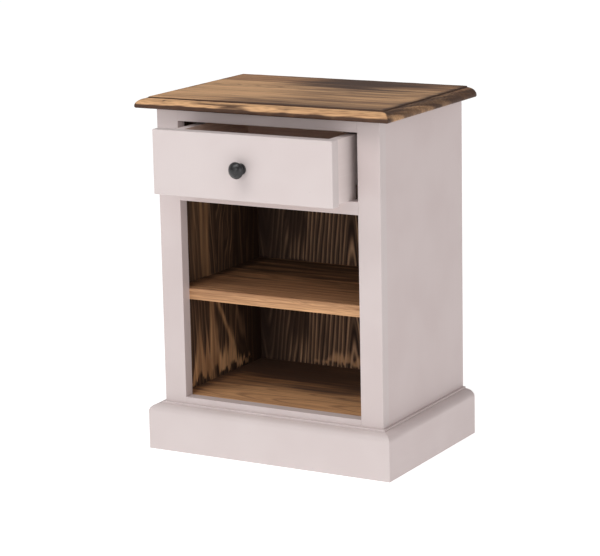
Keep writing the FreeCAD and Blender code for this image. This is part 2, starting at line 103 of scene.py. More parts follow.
def pine(along, across, seed, stave, spacing, knots=(), width=0.13, calm=1.0):
    """Growth rings cut by a glued pine board: ring lines, each stave's own shade, and knots.

    stave is the width of a stave and spacing the distance of its rings. A knot is its place
    along and across the board and its size. width is the share of a ring that its dark line
    takes, and calm is how far the rings wander."""
    number = np.floor(across / stave)
    apart = 40 * number

    def of_stave(row):
        return lattice(number, row, seed)

    own = of_stave(3)
    local = across - (number + 0.5) * stave
    centre = (of_stave(5) - 0.5) * stave
    depth = 0.010 + 0.03 * of_stave(7)
    lean = 0.035 + 0.07 * of_stave(9)
    lean = lean * np.sign(of_stave(11) - 0.4)
    bend = layered(along * 5.0, across * 11.0 + apart, seed + 1) - 0.5
    ripple = layered(along * 22.0, across * 30.0 + apart, seed + 2) - 0.5
    uneven = layered(along * 1.5, across * 55.0 + apart, seed + 12, layers=2) - 0.5
    distance = np.sqrt((local - centre) ** 2 + depth ** 2)
    knot = 0 * along * across
    for knot_along, knot_across, size in knots:
        off = np.sqrt(((along - knot_along) / 1.8) ** 2 + (across - knot_across) ** 2)
        distance = distance + 1.4 * size * np.exp(-(off / (2.2 * size)) ** 2)
        knot = np.maximum(knot, np.exp(-(off / size) ** 4))
    ring = distance + lean * along
    ring = ring + calm * (0.016 * bend + 0.0022 * ripple) + 1.3 * spacing * uneven
    ring = ring / spacing
    phase = ring - np.floor(ring)
    dark_line = np.exp(-((phase - 0.6) / width) ** 2)
    faint_line = 0.3 * np.exp(-((phase - 0.2) / 0.12) ** 2)
    return np.clip(dark_line + faint_line, 0, 1), own, knot


# Meshes

def new_piece(name, vertices, faces, body, material, replaced, masks=None):
    """A smooth piece on its body, in place of the CAD nodes, with masks for its material."""
    mesh = bpy.data.meshes.new(name)
    mesh.from_pydata([tuple(v) for v in vertices], [], faces)
    mesh.validate()
    for mask, values in (masks or {}).items():
        attribute = mesh.attributes.new(mask, "FLOAT", "POINT")
        attribute.data.foreach_set("value", np.asarray(values, np.float32))
    mesh.polygons.foreach_set("use_smooth", [True] * len(mesh.polygons))
    mesh.update()
    piece = bpy.data.objects.new(name, mesh)
    bpy.context.scene.collection.objects.link(piece)
    mesh.materials.append(material)
    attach(piece, body)
    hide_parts(*replaced)
    return piece


def close_up(mesh, merge, sharp):
    """Merge doubled vertices, turn the faces outwards, and keep end faces and corners crisp.

    merge is the distance within which vertices are one, and sharp the angle in degrees from
    which an edge is a corner."""
    for polygon in mesh.polygons:
        if len(polygon.vertices) > 4:
            polygon.use_smooth = False
    shape = bmesh.new()
    shape.from_mesh(mesh)
    bmesh.ops.remove_doubles(shape, verts=shape.verts, dist=merge)
    bmesh.ops.recalc_face_normals(shape, faces=shape.faces)
    shape.to_mesh(mesh)
    shape.free()
    mesh.set_sharp_from_angle(angle=math.radians(sharp))


def grid_faces(rows, columns, closed):
    """Quads over a grid of vertices; closed joins the last column to the first."""
    faces = []
    last = columns if closed else columns - 1
    for i in range(rows - 1):
        here = i * columns
        above = here + columns
        for j in range(last):
            k = (j + 1) % columns
            faces.append((here + j, here + k, above + k, above + j))
    return faces


def outline(corners, spacings, radii):
    """Points round a board's section, their inward normals and the edge that each is on.

    Each edge runs from its corner to the next and has its own spacing."""
    points, inward, edges = [], [], []
    count = len(corners)
    corner_steps = 5
    corners = [np.array(c, float) for c in corners]
    area = sum(corners[i - 1][0] * corners[i][1] - corners[i][0] * corners[i - 1][1]
               for i in range(count))
    turned = np.sign(area)
    for i in range(count):
        before, here, after = corners[i - 1], corners[i], corners[(i + 1) % count]
        into = (here - before) / np.linalg.norm(here - before)
        away = (after - here) / np.linalg.norm(after - here)
        turn = into[0] * away[1] - into[1] * away[0]
        side = np.sign(turn) if turn != 0 else 1
        radius = radii[i]
        if radius > 0:
            hub = here - into * radius + np.array([-into[1], into[0]]) * radius * side
            start = math.atan2(*(here - into * radius - hub)[::-1])
            for k in range(corner_steps + 1):
                angle = start + side * math.pi / 2 * k / corner_steps
                spoke = np.array([math.cos(angle), math.sin(angle)])
                points.append(hub + spoke * radius)
                inward.append(-spoke * side * turned)
                edges.append(i if k > corner_steps / 2 else (i - 1) % count)
        else:
            diagonal = away - into
            points.append(here)
            inward.append(diagonal / np.linalg.norm(diagonal) * side * turned)
            edges.append(i)
        first = here + away * radius
        last = after - away * radii[(i + 1) % count]
        length = np.linalg.norm(last - first)
        pieces = max(1, int(round(length / spacings[i])))
        normal = np.array([-away[1], away[0]]) * turned
        for k in range(1, pieces):
            points.append(first + (last - first) * k / pieces)
            inward.append(normal)
            edges.append(i)
    return np.array(points), np.array(inward), np.array(edges)


def board(name, body, replaced, material, axis, ends, corners, spacings, radii, step, wear):
    """A board along the x or z axis with a worn surface.

    wear(along, first, second, place, edge) takes the place along the board, the section's two
    coordinates, the place round the section and the edge's number. It gives how deep the
    surface lies, in metres, and the masks that the board's material reads."""
    points, inward, edges = outline(corners, spacings, radii)
    lengths = np.linalg.norm(np.roll(points, -1, axis=0) - points, axis=1)
    places = np.concatenate([[0], np.cumsum(lengths)[:-1]])
    stations = np.linspace(ends[0], ends[1], max(2, int((ends[1] - ends[0]) / step)))
    along, place = np.meshgrid(stations, places, indexing="ij")
    shape = along.shape
    first = np.broadcast_to(points[:, 0], shape)
    second = np.broadcast_to(points[:, 1], shape)
    edge = np.broadcast_to(edges, shape)
    sink, masks = wear(along, first, second, place, edge)
    first = first + inward[:, 0] * sink
    second = second + inward[:, 1] * sink
    order = [along, first, second] if axis == "x" else [first, second, along]
    vertices = np.stack(order, -1).reshape(-1, 3)
    rows, columns = shape
    faces = grid_faces(rows, columns, closed=True)
    faces.append(tuple(reversed(range(columns))))
    faces.append(tuple(range((rows - 1) * columns, rows * columns)))
    masks = {key: np.broadcast_to(value, shape).reshape(-1) for key, value in masks.items()}
    piece = new_piece(name, vertices, faces, body, material, replaced, masks)
    close_up(piece.data, merge=0.001 * MM, sharp=38)


# Materials

def tone(red, green, blue):
    """A colour from its usual 0 to 255 values."""
    def linear(value):
        value = value / 255
        return value / 12.92 if value <= 0.04045 else ((value + 0.055) / 1.055) ** 2.4
    return (linear(red), linear(green), linear(blue), 1.0)


def even(scale):
    """A noise scale that is the same along every axis."""
    return (scale, scale, scale)


def stretched(axis, fine, coarse):
    """Noise scales that draw streaks along an axis."""
    return tuple(coarse if name == axis else fine for name in "xyz")


class Finish:
    """A material and short calls for its nodes."""

    def __init__(self, name):
        self.material = bpy.data.materials.new(name)
        self.material.use_nodes = True
        self.tree = self.material.node_tree
        self.tree.nodes.clear()
        self.shader = self.tree.nodes.new("ShaderNodeBsdfPrincipled")
        output = self.tree.nodes.new("ShaderNodeOutputMaterial")
        self.tree.links.new(self.shader.outputs[0], output.inputs["Surface"])
        coordinates = self.tree.nodes.new("ShaderNodeTexCoord")
        self.position = coordinates.outputs["Object"]

    def feed(self, socket, value):
        """Link a socket to another one, or set its number or colour."""
        if isinstance(value, bpy.types.NodeSocket):
            self.tree.links.new(value, socket)
        else:
            socket.default_value = value

    def axes(self):
        """The place along x, y and z."""
        parts = self.tree.nodes.new("ShaderNodeSeparateXYZ")
        self.tree.links.new(self.position, parts.inputs[0])
        return parts.outputs

    def math(self, operation, first, second=0.0):
        """One operation on numbers."""
        node = self.tree.nodes.new("ShaderNodeMath")
        node.operation = operation
        self.feed(node.inputs[0], first)
        self.feed(node.inputs[1], second)
        return node.outputs[0]

    def plus(self, first, second, share):
        """The first value with a share of the second added."""
        return self.math("ADD", first, self.math("MULTIPLY", second, share))

    def mask(self, name):
        """A mask that the mesh carries."""
        node = self.tree.nodes.new("ShaderNodeAttribute")
        node.attribute_name = name
        return node.outputs["Fac"]

    def spread(self, value, start, end, low=0.0, high=1.0):
        """Carry a value from one span to another, kept inside it."""
        node = self.tree.nodes.new("ShaderNodeMapRange")
        node.interpolation_type = "SMOOTHSTEP"
        self.feed(node.inputs["Value"], value)
        spans = {"From Min": start, "From Max": end, "To Min": low, "To Max": high}
        for key, number in spans.items():
            node.inputs[key].default_value = number
        return node.outputs["Result"]

    def vary(self, texture, low=0.0, high=1.0):
        """Carry a noise, which lies mostly between 0.3 and 0.7, to another span."""
        return self.spread(texture, 0.3, 0.7, low, high)

    def speckle(self, scales, detail=3.0, roughness=0.55, shift=(0, 0, 0)):
        """Noise with its own scale along each axis."""
        place = self.tree.nodes.new("ShaderNodeMapping")
        place.inputs["Scale"].default_value = scales
        place.inputs["Location"].default_value = shift
        self.tree.links.new(self.position, place.inputs["Vector"])
        node = self.tree.nodes.new("ShaderNodeTexNoise")
        node.inputs["Scale"].default_value = 1.0
        node.inputs["Detail"].default_value = detail
        node.inputs["Roughness"].default_value = roughness
        self.tree.links.new(place.outputs[0], node.inputs["Vector"])
        return node.outputs["Fac"]

    def blend(self, share, first, second):
        """A share of the second colour over the first."""
        colour_a, colour_b, result = 6, 7, 2
        node = self.tree.nodes.new("ShaderNodeMix")
        node.data_type = "RGBA"
        self.feed(node.inputs["Factor"], share)
        self.feed(node.inputs[colour_a], first)
        self.feed(node.inputs[colour_b], second)
        return node.outputs[result]

    def bump(self, height, strength, distance):
        """Fine relief, with its distance in metres."""
        node = self.tree.nodes.new("ShaderNodeBump")
        node.inputs["Strength"].default_value = strength
        node.inputs["Distance"].default_value = distance
        self.feed(node.inputs["Height"], height)
        self.tree.links.new(node.outputs[0], self.shader.inputs["Normal"])

    def coat(self, colour, roughness):
        """Set the colour and roughness and give the material."""
        self.feed(self.shader.inputs["Base Color"], colour)
        self.feed(self.shader.inputs["Roughness"], roughness)
        return self.material


def painted(finish, light, shade):
    """The colour of paint, slightly clouded and with a few flecks."""
    cloud = finish.speckle(even(9.0), detail=2.0)
    fleck = finish.speckle(even(260.0), detail=1.0, shift=(3, 5, 7))
    colour = finish.blend(finish.vary(cloud), light, shade)
    return finish.blend(finish.spread(fleck, 0.77, 0.83, 0.0, 0.35), colour, fleck_tone)


def paint(name, axis, light, shade):
    """Satin paint brushed along the board, with the pine's grain faintly showing."""
    finish = Finish(name)
    strokes = finish.speckle(stretched(axis, 900.0, 18.0), detail=2.0)
    grain = finish.speckle(stretched(axis, 90.0, 3.0), detail=3.0)
    finish.bump(finish.plus(grain, strokes, 0.5), strength=0.16, distance=0.0004)
    return finish.coat(painted(finish, light, shade), finish.vary(strokes, 0.42, 0.54))


def wood_colour(finish, axis, light, middle, line_tone, line_share, burnt, over_char):
    """The colour of a brushed, burnt and stained board from the masks on its mesh, and the
    noise along its fibres.

    over_char is how much of the ring lines still shows where the board is burnt."""
    fibre = finish.speckle(stretched(axis, 1100.0, 14.0), detail=3.0, roughness=0.65)
    streak = finish.speckle(stretched(axis, 150.0, 4.0), detail=4.0, roughness=0.6)
    mixed = finish.plus(finish.math("MULTIPLY", streak, 1.3), fibre, 0.7)
    mixed = finish.plus(mixed, finish.mask("tint"), 0.5)
    colour = finish.blend(finish.spread(mixed, 0.85, 1.6), light, middle)
    char = finish.plus(finish.mask("char"), fibre, 0.25)
    colour = finish.blend(finish.spread(char, 0.2, 1.15), colour, burnt)
    line = finish.math("MULTIPLY", finish.mask("line"), finish.spread(streak, 0.2, 0.6, 0.5, 1.0))
    line = finish.math("MULTIPLY", line, finish.spread(char, 0.6, 1.4, 1.0, over_char))
    colour = finish.blend(finish.math("MULTIPLY", line, line_share), colour, line_tone)
    return colour, fibre


def stained(name, axis, light, middle, line_tone, line_share, burnt, rough,
            over_char=0.3, shine=0.22):
    """A brushed, burnt and stained board. rough is its least roughness, and shine is how much
    it reflects head on."""
    finish = Finish(name)
    colour, fibre = wood_colour(finish, axis, light, middle, line_tone, line_share, burnt,
                                over_char)
    finish.bump(finish.plus(finish.mask("line"), fibre, 0.6), strength=0.35, distance=0.0003)
    finish.shader.inputs["Specular IOR Level"].default_value = shine
    return finish.coat(colour, finish.vary(fibre, rough, rough + 0.16))


def side_finish():
    """Paint outside and brushed, burnt wood inside, told apart by the mesh's mask."""
    finish = Finish("side_panel_finish")
    wood, fibre = wood_colour(finish, "z", light=tone(240, 190, 140), middle=tone(158, 116, 82),
                              line_tone=tone(190, 150, 116), line_share=0.7,
                              burnt=tone(62, 46, 37), over_char=0.5)
    # The paint outside is the sides' darker paint, which is painted shade.
    coat = painted(finish, shaded_side_white, shaded_side_dark)
    strokes = finish.speckle(stretched("z", 900.0, 18.0), detail=2.0)
    finish.bump(finish.plus(finish.mask("line"), strokes, 0.3), strength=0.25, distance=0.0003)
    finish.shader.inputs["Specular IOR Level"].default_value = 0.2
    colour = finish.blend(finish.mask("stained"), coat, wood)
    return finish.coat(colour, finish.vary(fibre, 0.44, 0.58))


def planed(name, axis, light, dark, lines=0.5):
    """Plain planed wood with grain from nodes only, for boards that are seldom seen."""
    finish = Finish(name)
    fibre = finish.speckle(stretched(axis, 900.0, 12.0), detail=3.0)
    bands = finish.speckle(stretched(axis, 75.0, 2.2), detail=2.0)
    saw = finish.math("FRACT", finish.math("MULTIPLY", bands, 9.0))
    grain = finish.plus(fibre, saw, lines)
    colour = finish.blend(finish.spread(grain, 0.3, 1.15), light, dark)
    finish.bump(grain, strength=0.15, distance=0.0003)
    return finish.coat(colour, finish.vary(fibre, 0.6, 0.72))


def drawer_board(name, axis):
    """Bare pine inside the drawer, thin paint on the outside and on the upper edges. The paint is
    lighter than the case's: painted light for the drawer's shaded outer faces.
    """
    finish = Finish(name)
    fibre = finish.speckle(stretched(axis, 900.0, 12.0), detail=3.0)
    streak = finish.speckle(stretched(axis, 110.0, 3.0), detail=3.0)
    inside = finish.blend(finish.spread(finish.math("ADD", fibre, streak), 0.7, 1.3),
                          tone(238, 208, 192), tone(220, 189, 173))
    # Painted light: this paint is lighter than the case's, to make up for the stile's shade on the
    # drawer's sides.
    outside = finish.blend(finish.vary(streak), tone(232, 219, 216), tone(229, 215, 212))
    x, _, z = finish.axes()
    outer_face = drawer_side_low.x + 0.6 * MM
    upper_edge = drawer_side_high.z - 0.4 * MM
    is_outside = finish.math("GREATER_THAN", finish.math("ABSOLUTE", x), outer_face)
    is_top = finish.math("GREATER_THAN", z, upper_edge)
    colour = finish.blend(finish.math("MAXIMUM", is_outside, is_top), inside, outside)
    finish.bump(fibre, strength=0.12, distance=0.0002)
    return finish.coat(colour, finish.vary(fibre, 0.5, 0.62))


def metal(name, colour, dull, rough, metallic):
    """Metal or black iron with fine pits and dull patches."""
    finish = Finish(name)
    patches = finish.speckle(even(240.0), detail=4.0)
    pits = finish.speckle(even(1500.0), detail=2.0)
    shade = finish.blend(finish.spread(patches, 0.35, 0.7), colour, dull)
    finish.shader.inputs["Metallic"].default_value = metallic
    finish.bump(finish.plus(pits, patches, 0.6), strength=0.12, distance=0.0002)
    return finish.coat(shade, finish.vary(patches, rough, rough + 0.14))


front_white, front_shade = tone(210, 198, 196), tone(206, 193, 191)
# Painted shade: the frame's paint is a little darker than the drawer front's, for the drawer's
# shadow on the rails and the shade on the stiles.
shaded_frame_white, shaded_frame_dark = tone(206, 193, 191), tone(202, 188, 186)
# Painted shade: the sides' paint is a little darker than the front's, for the faces turned sideways
# from the light.
shaded_side_white, shaded_side_dark = tone(208, 193, 191), tone(204, 188, 186)
fleck_tone = tone(165, 150, 146)
shaded_paint_upright = paint("shaded_paint_upright", "z", shaded_frame_white, shaded_frame_dark)
shaded_paint_rail = paint("shaded_paint_rail", "x", shaded_frame_white, shaded_frame_dark)
paint_across = paint("paint_across", "x", front_white, front_shade)
shaded_paint_deep = paint("shaded_paint_deep", "y", shaded_side_white, shaded_side_dark)

top_wood = stained("brushed_top", "x", light=tone(230, 181, 133), middle=tone(152, 107, 74),
                   line_tone=tone(112, 76, 52), line_share=0.5, burnt=tone(76, 54, 42),
                   rough=0.5)
shelf_wood = stained("brushed_shelf", "x", light=tone(224, 174, 128), middle=tone(162, 119, 86),
                     line_tone=tone(116, 80, 54), line_share=0.6, burnt=tone(76, 56, 43),
                     rough=0.55)
floor_wood = stained("brushed_floor", "x", light=tone(212, 164, 118), middle=tone(146, 107, 78),
                     line_tone=tone(112, 79, 58), line_share=0.6, burnt=tone(104, 82, 69),
                     rough=0.55)
back_wood = stained("brushed_back", "z", light=tone(220, 170, 126), middle=tone(150, 112, 84),
                    line_tone=tone(230, 186, 150), line_share=1.0, burnt=tone(64, 49, 42),
                    over_char=0.65, rough=0.7, shine=0.08)
side_wood = side_finish()

drawer_side_wood = drawer_board("drawer_side_finish", "y")
drawer_cross_wood = drawer_board("drawer_cross_finish", "x")
pine_light, pine_dark = tone(214, 178, 130), tone(176, 132, 86)
beech_light, beech_dark = tone(222, 190, 146), tone(196, 158, 112)
ply_wood = planed("drawer_bottom_ply", "x", tone(228, 198, 178), tone(206, 176, 156), lines=0.35)
bare_y = planed("bare_pine_deep", "y", pine_light, pine_dark)
bare_x = planed("bare_pine_across", "x", pine_light, pine_dark)
# Dark stain on the runners, guides and kickers: partly the interior's stain, and partly painted
# shade for the dark gap round the drawer.
dark_stain_and_shade_y = planed("dark_stain_and_shade_pine_deep", "y", tone(92, 70, 56), tone(52, 39, 32))
dowel_x = planed("beech_across", "x", beech_light, beech_dark, lines=0.2)
dowel_y = planed("beech_deep", "y", beech_light, beech_dark, lines=0.2)

zinc = metal("zinc", tone(190, 190, 184), tone(150, 150, 146), rough=0.3, metallic=1.0)
wire = metal("nail_wire", tone(150, 150, 150), tone(104, 100, 96), rough=0.36, metallic=1.0)
iron = metal("black_iron", tone(36, 34, 35), tone(26, 25, 26), rough=0.24, metallic=0.0)


# Boards with relief. The mask "line" is the ring lines, "char" how burnt the wood is, "tint" a
# stave's own shade and "stained" the faces of a side panel that aren't painted.

def wall_char(along, across, low, pale_height, foot_height, seed):
    """Char on a wall: a burnt ragged foot, a pale band with tongues, and dark wood above it."""
    height = along - low
    fine = layered(across * 130.0, along * 5.0, seed)
    broad = layered(across * 34.0, along * 4.0, seed + 3)
    foot = foot_height * (0.15 + 2.2 * rise(0.6 * fine + 0.4 * broad, 0.3, 0.8))
    tongues = pale_height * (0.1 + 2.2 * rise(0.4 * fine + 0.6 * broad, 0.25, 0.75))
    burnt_foot = 1 - rise(height, foot * 0.7, foot * 1.1 + 0.001)
    above = rise(height, tongues * 0.5, tongues * 1.4 + 0.0001)
    streaks = layered(across * 95.0, along * 2.5, seed + 5)
    clouds = layered(across * 10.0, along * 7.0, seed + 7, layers=2)
    dark = 0.9 + 0.3 * rise(0.6 * streaks + 0.4 * clouds, 0.36, 0.62)
    pale = 0.02 + 0.55 * rise(fine, 0.5, 0.75)
    return np.maximum(1.05 * burnt_foot, pale * (1 - above) + dark * above)


def opening_floor(along):
    """True in the upper opening, and the height of the board below each place."""
    upper = along > shelf_high.z
    return upper, np.where(upper, shelf_high.z, floor_high.z)


def back_wear(along, first, second, place, edge):
    """Wear for the back: pale ring lines on dark wood inside, and a plain brushed outer face."""
    inner_face, outer_face = 0, 2
    line, own, _ = pine(along, first + 0.217, seed=33.0, stave=0.124, spacing=0.0084,
                        width=0.15, calm=0.45)
    upper, low = opening_floor(along)
    height = along - low
    pale_height = np.where(upper, 0.0, 0.002 + 0.018 * rise(first, -0.12, 0.03))
    char = wall_char(along, first, low, pale_height, np.where(upper, 0.004, 0.006), seed=41.0)
    gap = layered(first * 26.0, along * 1.5, seed=49.0, layers=2)
    faint = rise(gap, 0.5, 0.66) * rise(height, 0.01, 0.06)
    shown = line * (1 - 0.85 * faint) * (1 - 0.8 * rise(-first, 0.1, 0.16))
    char = char - 0.25 * shown * (1 - rise(height, 0.05, 0.15)) + 0.5 * rise(-first, 0.11, 0.17)
    char = char + np.where(upper, 0.16, 0.0)
    plain = 0.25 + 0.6 * (layered(first * 12.0, along * 2.5, seed=45.0) - 0.3)
    inner = edge == inner_face
    line = np.where(inner, shown, line)
    sink = 0.3 * MM * (1 - line) * (inner | (edge == outer_face))
    char = np.clip(np.where(inner, char, plain), 0, 1.25)
    return sink, {"line": line, "char": char, "tint": own}


def side_wear(shift, knots):
    """Wear for a side panel; shift picks another stretch of the same kind of board."""
    inner_face, last_inner_edge = 0, 2

    def wear(along, first, second, place, edge):
        inner = edge <= last_inner_edge
        away = second - frame_back
        line, own, _ = pine(along, second + 0.046 + shift, seed=58.0, stave=0.093,
                            spacing=0.0105, knots=knots, width=0.11, calm=1.3)
        upper, low = opening_floor(along)
        height = along - low
        pale_height = np.where(upper, 0.0, 0.012 + 0.036 * (1 - rise(away, 0.1, 0.25)))
        foot_height = np.where(upper, 0.002, 0.012)
        char = wall_char(along, second + shift, low, pale_height, foot_height, seed=63.0)

        # Less burnt places, in metres behind the frame: a strip in the upper opening, and a
        # thin strip and a slanting streak in the lower one
        ragged = 0.016 * (layered(along * 9.0, away * 40.0, seed=72.0) - 0.5)
        rough = away + ragged
        strip = (0.5 + 0.5 * rise(rough, 0.068, 0.08)) * (1 - rise(rough, 0.094, 0.108))
        thin = rise(rough, 0.09, 0.1) * (1 - rise(rough, 0.106, 0.118))
        broken = rise(layered(along * 14.0, away * 60.0, seed=76.0), 0.3, 0.6)
        bare = np.where(upper, strip, 0.8 * thin * broken)
        slant = away - 0.134 - 0.56 * (0.112 - height) + 0.3 * ragged
        slant = np.exp(-(slant / 0.006) ** 2) * rise(height, 0.02, 0.05)
        bare = np.maximum(bare, slant * np.where(upper, 0.0, 0.8))
        grainy = 0.35 + 0.65 * layered(away * 190.0, along * 6.0, seed=71.0)
        char = char * (1 - bare) + bare * (np.where(upper, 1.0, 0.7) - 0.65 * grainy)
        rear_corner = 0.35 * rise(away, 0.2, 0.26)
        char = np.clip(char + rear_corner, 0.02, 1.2)

        line = line * np.where(upper, 1 - strip, 1.0) * (1 - 0.7 * rise(away, 0.18, 0.25))
        sink = np.where(edge == inner_face, 0.25 * MM * (1 - line), 0.0)
        masks = {"line": np.where(inner, line, 0), "char": char, "tint": own,
                 "stained": np.where(inner, 1.0, 0.0)}
        return sink, masks
    return wear


def flat_wear(seed, knots, start, end, rear_darkness):
    """Wear for a shelf or floor: lighter near its front edge and darker towards the back.

    start and end are the shares of its depth between which the char mask rises to the rear value
    given last."""
    front_edge = 3

    def wear(along, first, second, place, edge):
        finer = np.where(edge == front_edge, 2.2, 1.0)
        line, own, knot = pine(along, place * finer, seed, stave=0.095, spacing=0.0062,
                               knots=knots)
        inwards = (first - frame_back) / (inner_back - frame_back)
        patches = layered(along * 7.0, place * 14.0, seed + 4)
        streaks = layered(along * 9.0, place * 110.0, seed + 6)
        edge_of_burn = inwards + 0.4 * (patches - 0.5) + 0.5 * (streaks - 0.5)
        # Darker towards the back of the board.
        char = 0.08 + rear_darkness * rise(edge_of_burn, start, end) + 0.55 * (streaks - 0.5)
        char = char + 0.5 * rise(np.abs(along), inner_half - 0.03, inner_half)
        char = np.where(edge == front_edge, 0.3 * (streaks - 0.4), char)
        char = np.maximum(char, 0.45 * knot)
        nicks = layered(along * 60.0, place * 150.0, seed + 9)
        sink = 0.16 * MM * (1 - line) + 0.25 * MM * rise(nicks, 0.62, 0.8)
        return sink, {"line": line, "char": np.clip(char, 0, 1.1), "tint": own}
    return wear


def flat_board(name, node, material, arris, wear):
    """A shelf or floor. Its edges are the underside, the rear edge, the top and the front, and
    arris is how far the two front corners are rounded."""
    low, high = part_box(node)
    corners = [(low.y, low.z), (high.y, low.z), (high.y, high.z), (low.y, high.z)]
    board(name, "case", [node], material, "x", ends=(low.x, high.x),
          corners=corners, spacings=[3 * MM, 20 * MM, 1.1 * MM, 1.0 * MM],
          radii=[arris, 0, 0, arris], step=4 * MM, wear=wear)


shelf_knots = [(0.0555, 1.2298, 0.0045)]
flat_board("shelf_board", "shelf_panel", shelf_wood, arris=1.4 * MM,
           wear=flat_wear(seed=11.0, knots=shelf_knots, start=0.0, end=0.95, rear_darkness=0.75))
flat_board("floor_board", "floor_panel", floor_wood, arris=0.3 * MM,
           wear=flat_wear(seed=23.0, knots=[], start=0.1, end=0.85, rear_darkness=1.0))

# The back's edges are its inner face, one side, its outer face and the other side.
board("back_board", "case", ["back_panel"], back_wood, "z",
      ends=(back_low.z, back_high.z),
      corners=[(back_half, back_low.y), (-back_half, back_low.y),
               (-back_half, back_high.y), (back_half, back_high.y)],
      spacings=[1.2 * MM, 5 * MM, 1.8 * MM, 5 * MM], radii=[0, 0, 0, 0], step=5 * MM,
      wear=back_wear)

# A side's edges are its inner face, the two of the rabbet, the back, the outside and the front.
side_section = [(inner_half, frame_back), (inner_half, inner_back), (back_half, inner_back),
                (back_half, side_high.y), (side_high.x, side_high.y), (side_high.x, frame_back)]
side_spacings = [1.2 * MM, 5 * MM, 5 * MM, 5 * MM, 12 * MM, 10 * MM]
side_radii = [0, 0, 0, 0, 0.8 * MM, 0]
left_knots = [(0.405, 0.112, 0.009), (0.335, 0.13, 0.006)]
for sign, word, wear in ((1, "right", side_wear(shift=0.372, knots=[])),
                         (-1, "left", side_wear(shift=0.0, knots=left_knots))):
    board(word + "_side_board", "case", [word + "_side_panel"], side_wood,
          "z", ends=(0.0, side_high.z), corners=[(sign * a, b) for a, b in side_section],
          spacings=side_spacings, radii=side_radii, step=5 * MM, wear=wear)


# The top, with its hand-worn moulding

ovolo_width = 17.0 * MM
ovolo_height = 12.5 * MM
step_height = 2.0 * MM
nose_radius = 3.0 * MM
ovolo_base = top_high.z - top_low.z - step_height - ovolo_height


def top_grid():
    """Lines of the grid over the top, dense over the moulding and its step."""
    width = top_high.x - top_low.x
    depth = top_high.y - top_low.y
    margin = 3 * MM
    over_ovolo = ovolo_width * (1 - np.cos(np.linspace(0, math.pi / 2, 13)))
    over_step = ovolo_width + np.array([0.02, 0.25, 0.7]) * MM
    near_edge = np.concatenate([over_ovolo, over_step])
    middle = np.linspace(ovolo_width + margin, width - ovolo_width - margin, 118)
    deep = np.arange(ovolo_width + 1.6 * MM, depth - 0.5 * MM, 1.1 * MM)
    xs = top_low.x + np.concatenate([near_edge, middle, (width - near_edge)[::-1]])
    ys = top_low.y + np.concatenate([near_edge, deep, [depth]])
    return xs, ys


def field_char(x, y, across, inset):
    """Inside the moulding: char in smoke and long streaks, and a field that is made darker towards
    the right and at the step.
    """
    blotch = layered(x * 4.5 + 3, y * 6.5, seed=15.0)
    long_streaks = layered(x * 8.0, y * 90.0, seed=37.0)
    thin_streaks = layered(x * 12.0, y * 210.0, seed=39.0)
    smoke = (blotch - 0.5) * (0.4 + 1.3 * thin_streaks)
    char = 0.75 * rise(across, 0.12, 0.75) + 1.1 * smoke + 0.8 * (long_streaks - 0.5)
    return char + 0.35 * rise(0.012 - (inset - ovolo_width), 0.0, 0.012)


def moulding_char(x, across, inset):
    """Char on the front moulding: patches that are worn through, and a dark outer edge, which is
    painted shadow under the nose.
    """
    sway = 1.6 * noise(x * 7.0, x * 0 + 0.5, seed=22.0)
    streaks = layered(x * 20.0, inset * 330.0 + sway, seed=21.0, layers=4)
    fields = layered(x * 11.0 + 2, inset * 90.0 + sway, seed=27.0)
    outer = rise(0.013 - inset, 0, 0.011)
    patchy = rise(0.6 * streaks + 0.4 * fields + 0.08 * outer, 0.46, 0.78)
    char = patchy * (0.5 + 0.45 * outer) + 0.2 * (1 - rise(across, 0.0, 0.3))
    # Painted shadow: the outer 1.4 mm of the edge is made dark.
    return char + 0.8 * rise(0.0014 - inset, 0, 0.0012)


def top_surface(x, y):
    """Height of the top over its underside, and the masks of its material."""
    front = y - top_low.y
    side = np.minimum(x - top_low.x, top_high.x - x)
    inset = np.minimum(front, side)
    across = (x - top_low.x) / (top_high.x - top_low.x)
    on_edge = inset < ovolo_width + 0.01 * MM
    on_side = on_edge & (side < front)
    in_step = (inset > ovolo_width - 1.3 * MM) & (inset < ovolo_width + 0.3 * MM)

    curve = np.clip(1 - inset / ovolo_width, 0, 1)
    height = ovolo_base + ovolo_height * np.sqrt(np.clip(1 - curve ** 2, 0, 1))
    raised = 0.45 + 0.55 * rise(inset, ovolo_width, ovolo_width + 0.72 * MM)
    height = height + step_height * np.where(inset > ovolo_width + 0.001 * MM, raised, 0)

    unfolded = y - curve * 0.006
    line, own, knot = pine(x, unfolded + 0.2, seed=5.0, stave=0.108, spacing=0.0058,
                           knots=[(-0.181, 0.0833, 0.0022)])
    gouges = rise(layered(x * 34.0, y * 120.0, seed=3.0, layers=4), 0.45, 0.8)
    chips = rise(layered(x * 90.0 + 5, y * 240.0, seed=9.0), 0.62, 0.85)
    worn = np.where(on_edge, gouges, 0)
    chipped = np.where(on_edge, chips, 0)
    sink = 0.16 * MM * (1 - line) + 0.55 * MM * worn + 0.3 * MM * chipped

    side_streaks = layered(y * 34.0 + inset * 260.0, inset * 90.0, seed=33.0)
    char = np.where(on_edge, moulding_char(x, across, inset), field_char(x, y, across, inset))
    char = np.where(on_side, 0.85 + 1.1 * (side_streaks - 0.5), char)
    char = np.maximum(char, 1.1 * knot)
    char = np.clip(np.where(in_step, 1.1, char), 0, 1.1)
    return height - sink, {"line": line, "char": char, "tint": own}


